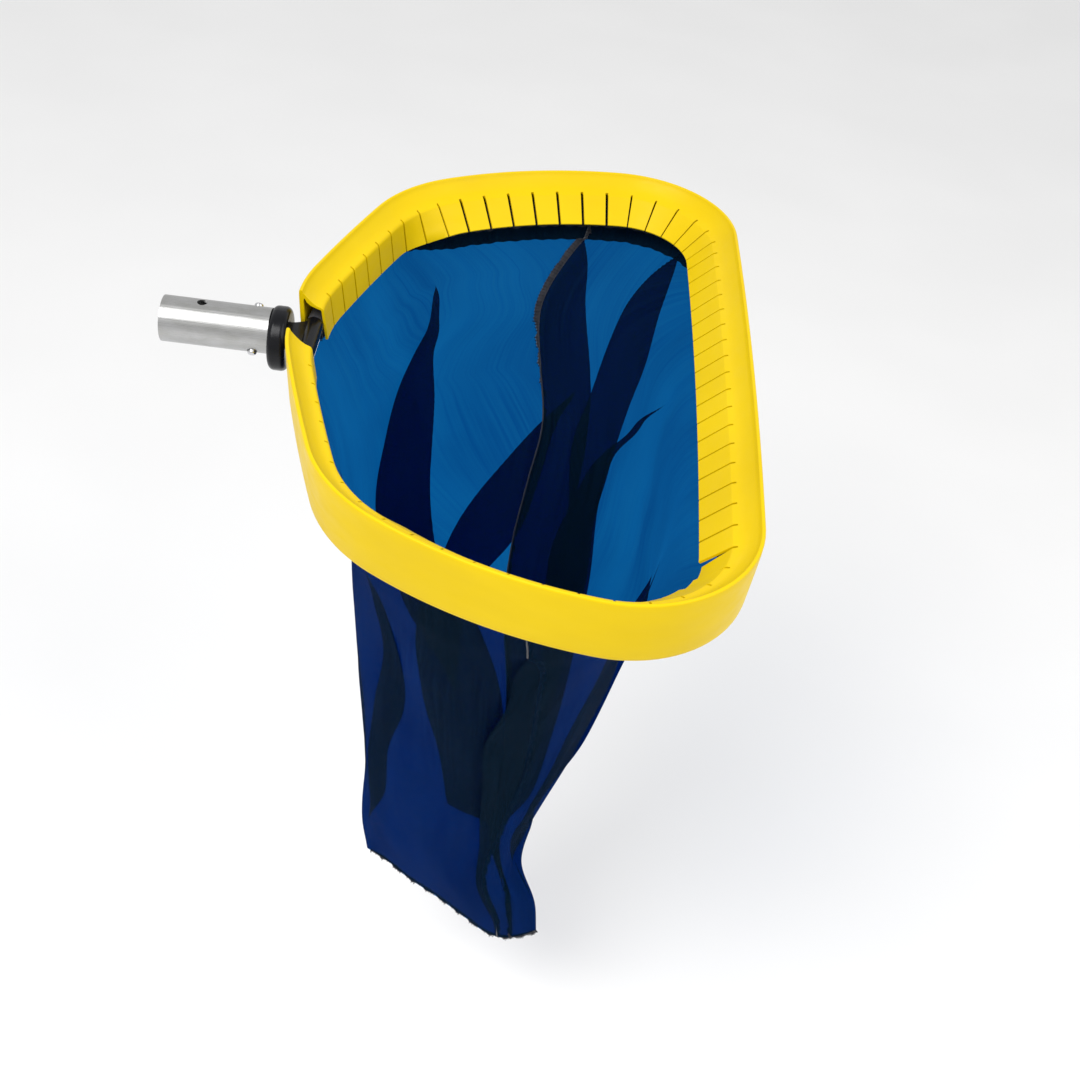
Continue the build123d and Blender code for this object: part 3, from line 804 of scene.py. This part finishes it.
def folded_row(level):
    """The net's route round one level: share of the way round and inset, by material."""
    gap = layer_gap(level)
    lines = fold_lines(level)
    ends = fold_row_points(lines, gap, 0.0)
    ends = fold_row_points(lines, gap, ends[-1][1])    # so that the row closes on itself
    x, y, _ = bag_point(np.linspace(0.0, 1.0, FORM_SAMPLES), np.full(FORM_SAMPLES, level), 0.0)
    around = float(np.hypot(np.diff(x), np.diff(y)).sum())
    share, inset, mark = np.array(ends).T
    run = np.r_[0.0, np.cumsum(np.hypot(np.diff(share) * around, np.diff(inset)) + 1e-7)]
    even = np.linspace(0.0, run[-1], FOLD_SAMPLES, endpoint=False)
    # the seams stay on their fold lines, and the net between them is shared out evenly
    pinned = [run[mark == 1 + FOLD_ORDER.index(name)][0] for name in SEAM_PLEATS]
    even = np.interp(even / run[-1], [0.0, SEAM_FAR, SEAM_NEAR, 1.0], [0.0, *pinned, run[-1]])
    share = np.interp(even, run, share)
    inset = np.interp(even, run, inset)
    spread = FOLD_ROUNDING / (run[-1] / FOLD_SAMPLES)
    reach = int(4.0 * spread) + 1
    weight = np.exp(-0.5 * (np.arange(-reach, reach + 1) / spread) ** 2)
    weight /= weight.sum()
    share = np.convolve(np.r_[share[-reach:] - 1.0, share, share[:reach] + 1.0], weight, "valid")
    inset = np.convolve(np.r_[inset[-reach:], inset, inset[:reach]], weight, "valid")
    return share, inset


def fold_row_points(lines, gap, inset):
    """Corners of the net's route, with each forward run settling back to the form."""
    points = [(0.0, inset, 0)]
    for order, (left, right) in enumerate(lines, 1):
        steps = max(2, int((right - points[-1][0]) / FOLD_STEP))
        begin = points[-1][0]
        for k in range(1, steps + 1):
            share = begin + (right - begin) * k / steps
            points.append((share, inset * math.exp(-(share - begin) / FOLD_SETTLES), 0))
        opened = float(smooth_step((right - left) / FOLD_OPENS_OVER))
        inset = points[-1][1] + gap * opened
        points.append((left, inset, order))
    begin = points[-1][0]
    for k in range(1, CLOSING_STEPS + 1):
        share = begin + (1.0 - begin) * k / CLOSING_STEPS
        points.append((share, inset * math.exp(-(share - begin) / FOLD_SETTLES), 0))
    return points


FOLDED_ROWS = {}        # rows already worked out, by level


def pleated(columns, levels):
    """For a grid of columns and levels: shares where the net lies, insets, and the grid."""
    columns = np.asarray(columns, float)
    even = np.linspace(0.0, 1.0, FOLD_SAMPLES + 1)
    where = []
    inset = []
    for level in levels:
        key = round(float(level), 6)
        if key not in FOLDED_ROWS:
            FOLDED_ROWS[key] = folded_row(float(level))
        row_share, row_inset = FOLDED_ROWS[key]
        turn = np.floor(columns)
        part = columns - turn
        where.append(turn + np.interp(part, even, np.r_[row_share, row_share[0] + 1.0]))
        inset.append(np.interp(part, even, np.r_[row_inset, row_inset[0]]))
    share, level = np.meshgrid(columns, levels)
    return np.array(where), np.array(inset), share, level


def ripple(share, level, waves, seed):
    """A soft random surface over the bag: a sum of waves round it and down it."""
    draw = np.random.default_rng(seed)
    height = np.zeros_like(share)
    for _ in range(waves):
        around = draw.integers(3, 22)
        down = draw.uniform(4.0, 26.0)
        phase = draw.uniform(0.0, 2.0 * math.pi, 2)
        size = draw.uniform(0.4, 1.0) / (1.0 + 0.08 * around)
        sway = 1.7 * np.sin(down * level + phase[1])
        height += size * np.sin(2 * math.pi * around * share + phase[0] + sway)
    return height


def net_sheet(columns, levels):
    """Positions of the net over a grid of columns round the bag and levels down it."""
    where, inset, share, level = pleated(columns, levels)
    depth = np.clip(depth_share(level), 0.0, 1.0)
    slack = smooth_step(depth / 0.25) * (1.0 - smooth_step((depth - 0.80) / 0.2))
    size, waves, seed = WRINKLES_IN
    inset = inset + size * slack * ripple(share, level, waves, seed)
    size, waves, seed = WRINKLES_ROUND
    where = where + size * slack * ripple(share, level, waves, seed)
    x, y, z = bag_point(where, level, inset)
    return np.stack([x, y, z], axis=-1), share, level


def bag_rows():
    """Levels of the net's rows of points."""
    return np.linspace(BAG_TOP_Z + BAG_TUCK, BAG_LEVELS[-1][0], BAG_ROWS)


def net_panel(name, start, end, material):
    """One panel of the net, between two shares of the way round."""
    count = max(8, round(BAG_COLUMNS * (end - start)))
    columns = np.linspace(start, end, count + 1)
    grid, share, level = net_sheet(columns, bag_rows())
    rows, across = share.shape
    points = grid.reshape(-1, 3)
    faces = []
    for i in range(rows - 1):
        for k in range(across - 1):
            a = i * across + k
            faces.append((a, a + 1, a + across + 1, a + across))
    panel = make_piece(name, points, faces, material)
    layer = panel.data.uv_layers.new(name="weave")
    loops = np.zeros(len(panel.data.loops), int)
    panel.data.loops.foreach_get("vertex_index", loops)
    _, _, round_mouth = mouth(np.zeros(1))
    uv = np.stack([share.ravel() * round_mouth, level.ravel()], axis=-1)[loops]
    layer.data.foreach_set("uv", uv.astype(np.float32).ravel())
    return panel


def seam_line(share):
    """The net's own line down a side seam, and the direction round the bag along it."""
    columns = np.array([share - SEAM_LINE_STEP, share, share + SEAM_LINE_STEP])
    grid, _, _ = net_sheet(columns, bag_rows())
    return grid[:, 1], grid[:, 2] - grid[:, 0]


def resampled(line, out):
    """A line in even steps: the steps, its points, its directions and unit directions out."""
    steps = np.r_[0.0, np.cumsum(np.linalg.norm(np.diff(line, axis=0), axis=1))]
    fine = np.linspace(0.0, steps[-1], max(20, int(steps[-1] / SEAM_STEP)))
    middle = np.stack([np.interp(fine, steps, line[:, k]) for k in range(3)], axis=1)
    stand = np.stack([np.interp(fine, steps, out[:, k]) for k in range(3)], axis=1)
    along = np.gradient(middle, axis=0)
    along /= np.linalg.norm(along, axis=1)[:, None]
    stand -= (stand * along).sum(1)[:, None] * along
    stand /= np.linalg.norm(stand, axis=1)[:, None]
    return fine, middle, along, stand


def overlocked_edge(name, line, out, height, tape, yarn):
    """A folded edge standing out from a line, with the overlock thread looped over it."""
    fine, middle, along, stand = resampled(np.asarray(line, float), out)
    side = np.cross(along, stand)
    pucker = sum(size * np.sin(fine * 2 * math.pi / length) for size, length in SEAM_WAVES)
    thick = SEAM_HALF_THICK
    half = [(-thick, SEAM_ROOT), (-thick, 0.55 * height), (-0.7 * thick, 0.9 * height)]
    profile = [*half, (0.0, height), *((-across, up) for across, up in reversed(half))]
    points = []
    for m, s, n, p in zip(middle, stand, side, pucker):
        for across, up in profile:
            lean = p * up / height
            points.append(m + s * up + n * (across + 2.0 * lean))
    edge = make_piece(name, points, skin(len(fine), len(profile)), tape)
    face_outward(edge)

    length = fine[-1]
    reach = thick + OVERLOCK_OUT
    top = height + OVERLOCK_OUT
    corners = [(-reach, OVERLOCK_ROOT), (-reach, top), (reach, top), (reach, OVERLOCK_ROOT)]
    route = []
    for k in range(int(length / OVERLOCK_PITCH) * 4):
        at = min(length, (k / 4.0) * OVERLOCK_PITCH)
        i = min(len(fine) - 1, int(at / length * (len(fine) - 1)))
        across, up = corners[k % 4]
        across += 2.0 * pucker[i] * up / height
        route.append(middle[i] + stand[i] * up + side[i] * across + along[i] * (at - fine[i]))
    points, faces = tube(route, OVERLOCK_RADIUS)
    return edge, make_piece(name + "_thread", points, faces, yarn)


# ==== hem ===========================================================================
def hem_path():
    """Section of the hem: up from its lower edge, round the hoop and back down inside."""
    turn_in, turn_down = HEM_TURN
    foot = (turn_in + 0.00045, turn_down - HEM_DROP)
    ring = arc_points((HOOP_IN, HOOP_DOWN), HEM_RING, -62.0, -62.0 - 306.0, 26)
    outer = [foot, (turn_in + 0.0006, turn_down - 0.0012), (turn_in - 0.0002, turn_down + 0.0006)]
    inner = [(turn_in - 0.0026, turn_down - 0.0003), (turn_in - 0.0012, turn_down - 0.0012),
             (turn_in - 0.0006, turn_down - 0.0024), (turn_in - 0.0006, turn_down - HEM_DROP)]
    return [*outer, *reversed(ring), *inner]


def hem_stations():
    """Distances along the outline between the two ends of the hem."""
    begin = HEM_ENDS[0] - OUTLINE_START[1]
    end = 2.0 * half_length(HOOP_IN) - (abs(HEM_ENDS[1]) - OUTLINE_START[1])
    return np.linspace(begin, end, HEM_STEPS)


def bag_hem(material):
    """The hem: two plies of binding, open below, deepest along the far and leading sides."""
    path = np.array(hem_path())
    half_ply = side_normals(path) * HEM_PLY / 2.0
    loop = np.vstack([path + half_ply, (path - half_ply)[::-1]])
    places = hem_stations()
    points = []
    for px, py, ox, oy, place in zip(*outline(places, HOOP_IN), places):
        slope = slat_slope(math.degrees(math.atan2(oy, ox)))
        short = (slope - LEADING_SLOPE) / (HANDLE_SLOPE - LEADING_SLOPE)
        for u, w in loop:
            w += HEM_SHORTER * short * max(0.0, HEM_TURN[1] - w)
            free = float(smooth_step((HEM_TURN[1] - w) / 0.002))
            wave = sum(size * free * math.sin(place * 2 * math.pi / length + phase)
                       for size, length, phase in HEM_WAVES)
            lean = HEM_LEAN * max(0.0, HEM_TURN[1] - HEM_STITCH_DROP - w)
            inward = HOOP_IN - u - lean + wave
            points.append((px + inward * ox, py + inward * oy, RIM_Z + w + 0.5 * wave))
    hem = make_piece("hem", points, skin(len(places), len(loop)), material, sharp=60.0)
    face_outward(hem)
    return hem


def hem_stitches(material):
    """One row of running stitches round the hem's inner face, and one on its outer face."""
    turn_in, turn_down = HEM_TURN
    places = hem_stations()
    along, rise = np.array(STITCH_FORM).T
    parts = []
    for u, side in ((turn_in + 0.0013, 1.0), (turn_in - 0.0012, -1.0)):
        place = places[0] + STITCH_PITCH
        while place < places[-1] - STITCH_PITCH:
            x, y, out_x, out_y = outline(place + STITCH_PITCH * STITCH_SHARE * along, HOOP_IN)
            inward = HOOP_IN - u - side * rise
            z = np.full(len(along), RIM_Z + turn_down - HEM_STITCH_DROP)
            route = np.stack([x + inward * out_x, y + inward * out_y, z], axis=1)
            parts.append(tube(route, STITCH_RADIUS))
            place += STITCH_PITCH
    points, faces = joined(parts)
    return make_piece("hem_stitches", points, faces, material)


# ==== snap spring ===================================================================
BUTTON_ANGLE = -40.0
SPRING_THICKNESS = 0.0008
SPRING_WIDTH = 0.009
SPRING_LEG_OUT = 0.0093
SPRING_FRONT_X = 0.069
SPRING_BEND_X = 0.048
SPRING_ROUNDNESS = 0.75     # depth of the bend along the tube, against half its width


def spring_leg(side, material):
    """Half of the bent strip, from the middle of its bend to the end of one leg."""
    a = math.radians(BUTTON_ANGLE)
    out = np.array([0.0, -math.cos(a), math.sin(a)]) * side
    across = np.cross([1.0, 0.0, 0.0], out)
    middle = SPRING_LEG_OUT - SPRING_THICKNESS / 2.0
    bend = [(SPRING_BEND_X - SPRING_ROUNDNESS * middle * math.cos(k), middle * math.sin(k))
            for k in np.linspace(0.0, math.pi / 2.0, 14)]
    run = [(x, middle) for x in np.linspace(SPRING_BEND_X, SPRING_FRONT_X, 16)[1:]]
    path = np.array(bend + run)
    points = []
    for (x, rise), (nx, nr) in zip(path, side_normals(path)):
        for wide, thick in ((-1, -1), (-1, 1), (1, 1), (1, -1)):
            p = np.array([x + nx * thick * SPRING_THICKNESS / 2.0, 0.0, 0.0])
            p = p + out * (rise + nr * thick * SPRING_THICKNESS / 2.0)
            points.append(p + across * wide * SPRING_WIDTH / 2.0)
    name = "spring_leg_lower" if side > 0 else "spring_leg_upper"
    leg = make_piece(name, points, skin(len(path), 4), material, sharp=40.0)
    face_outward(leg)
    return leg


# ==== stage =========================================================================
CAMERA_PLACE = (0.24778, -0.83862, 0.54931)
CAMERA_ELEVATION = 0.7
CAMERA_AZIMUTH = -0.035
CAMERA_ROLL = 0.143
CAMERA_LENS = 48.05
CAMERA_SENSOR = 36.0
FLOOR_Z = -0.70
FLOOR_HALF = 6.0
SKY_STRENGTH = 0.78
LIGHTS_AIM = (0.24, -0.03, -0.12)
KEY_LIGHT = ("key", (-0.55, -0.95, 1.55), 1.1, 26.0)    # name, place, size, power
FILL_LIGHT = ("fill", (1.50, -0.60, 1.10), 1.3, 12.0)
SEE_THROUGH_LAYERS = 32     # layers of net that a ray may pass through


def camera():
    """The photo's camera, fitted to the tube and to the outline of the scoop."""
    el = CAMERA_ELEVATION
    az = CAMERA_AZIMUTH
    back = Vector((math.sin(az) * math.cos(el), -math.cos(az) * math.cos(el), math.sin(el)))
    level_right = Vector((math.cos(az), math.sin(az), 0.0))
    level_up = back.cross(level_right)
    c = math.cos(CAMERA_ROLL)
    s = math.sin(CAMERA_ROLL)
    right = c * level_right + s * level_up
    up = c * level_up - s * level_right
    data = bpy.data.cameras.new("camera")
    data.lens = CAMERA_LENS
    data.sensor_width = CAMERA_SENSOR
    holder = bpy.data.objects.new("camera", data)
    turn = Matrix((right, up, back)).transposed().to_4x4()
    holder.matrix_world = Matrix.Translation(CAMERA_PLACE) @ turn
    bpy.context.scene.collection.objects.link(holder)
    bpy.context.scene.camera = holder


def area_light(name, place, size, power):
    """A square white light, turned to the middle of the object."""
    data = bpy.data.lights.new(name, "AREA")
    data.size = size
    data.energy = power
    holder = bpy.data.objects.new(name, data)
    holder.location = place
    holder.rotation_mode = "QUATERNION"
    holder.rotation_quaternion = (Vector(place) - Vector(LIGHTS_AIM)).to_track_quat("Z", "Y")
    bpy.context.scene.collection.objects.link(holder)


def studio():
    """White surroundings, two lights and a floor."""
    scene = bpy.context.scene
    scene.view_settings.view_transform = "Standard"
    scene.cycles.transparent_max_bounces = SEE_THROUGH_LAYERS
    world = bpy.data.worlds.new("studio")
    world.use_nodes = True
    sky = world.node_tree.nodes["Background"]
    sky.inputs["Color"].default_value = (1.0, 1.0, 1.0, 1.0)
    sky.inputs["Strength"].default_value = SKY_STRENGTH
    scene.world = world
    area_light(*KEY_LIGHT)
    area_light(*FILL_LIGHT)
    corners = [(-1, -1), (1, -1), (1, 1), (-1, 1)]
    points = [(x * FLOOR_HALF, y * FLOOR_HALF, FLOOR_Z) for x, y in corners]
    floor = make_piece("floor", points, [(0, 1, 2, 3)], pale_floor())


# ==== assembly ======================================================================
def dress(names, material):
    """Gives carried-over CAD nodes their material."""
    for name in names:
        slots = NODES[name].data.materials
        slots.clear()
        slots.append(material)


def add_lip(plastic):
    lip = scoop_lip(plastic)
    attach(lip, "root")
    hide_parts("scoop_lip")


def add_bag(sheer, tape, seam_yarn, hem_yarn):
    handle_panel = net_panel("net_handle_side", SEAM_NEAR - 1.0, SEAM_FAR, sheer)
    leading_panel = net_panel("net_leading_side", SEAM_FAR, SEAM_NEAR, sheer)
    hem = bag_hem(tape)
    stitches = hem_stitches(hem_yarn)

    down = np.array([0.0, 0.0, -1.0])
    line, around = seam_line(SEAM_FAR)
    far_seam, far_thread = overlocked_edge(
        "far_seam", line, np.cross(down, around), FAR_SEAM_HEIGHT, tape, seam_yarn,
    )
    line, around = seam_line(SEAM_NEAR)
    near_seam, near_thread = overlocked_edge(
        "near_seam", line, np.cross(down, around), NEAR_SEAM_HEIGHT, tape, seam_yarn,
    )
    bottom, _, _ = net_sheet(np.linspace(0.04, 0.46, 240), bag_rows()[-1:])
    line = bottom[0][np.argsort(bottom[0][:, 0])]
    foot_seam, foot_thread = overlocked_edge(
        "foot_seam", line, np.tile(down, (len(line), 1)), FOOT_SEAM_HEIGHT, tape, seam_yarn,
    )

    sewn = (hem, stitches, far_seam, far_thread, near_seam, near_thread, foot_seam, foot_thread)
    for piece in (handle_panel, leading_panel, *sewn):
        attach(piece, "root")
    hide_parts("net_front_panel")
    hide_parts("net_back_panel")
    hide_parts("bag_hem")
    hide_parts("side_seam_far")
    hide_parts("side_seam_near")
    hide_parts("bottom_seam")


def add_spring(metal):
    """The spring's two halves, one for each button."""
    for side, button in ((1, "lower_button"), (-1, "upper_button")):
        leg = spring_leg(side, metal)
        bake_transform(leg)
        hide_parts("v_spring")


def main():
    camera()
    studio()
    plastic = yellow_plastic()
    tube_metal = aluminium()
    bright = steel("bright_steel", (0.66, 0.66, 0.67), 0.16)
    sprung = steel("spring_steel", (0.46, 0.46, 0.48), 0.24)
    tape = binding()
    seam_yarn = thread("dark_thread", (0.004, 0.005, 0.009), (0.018, 0.019, 0.028))
    hem_yarn = thread("hem_thread", (0.03, 0.03, 0.035), (0.12, 0.12, 0.13))
    sheer = net()
    dress(["pole_tube", "frame_hoop"], tube_metal)
    dress(["handle_yoke"], black_plastic())
    dress(["frame_screws", "upper_button", "lower_button"], bright)
    add_lip(plastic)
    add_bag(sheer, tape, seam_yarn, hem_yarn)
    add_spring(sprung)


main()
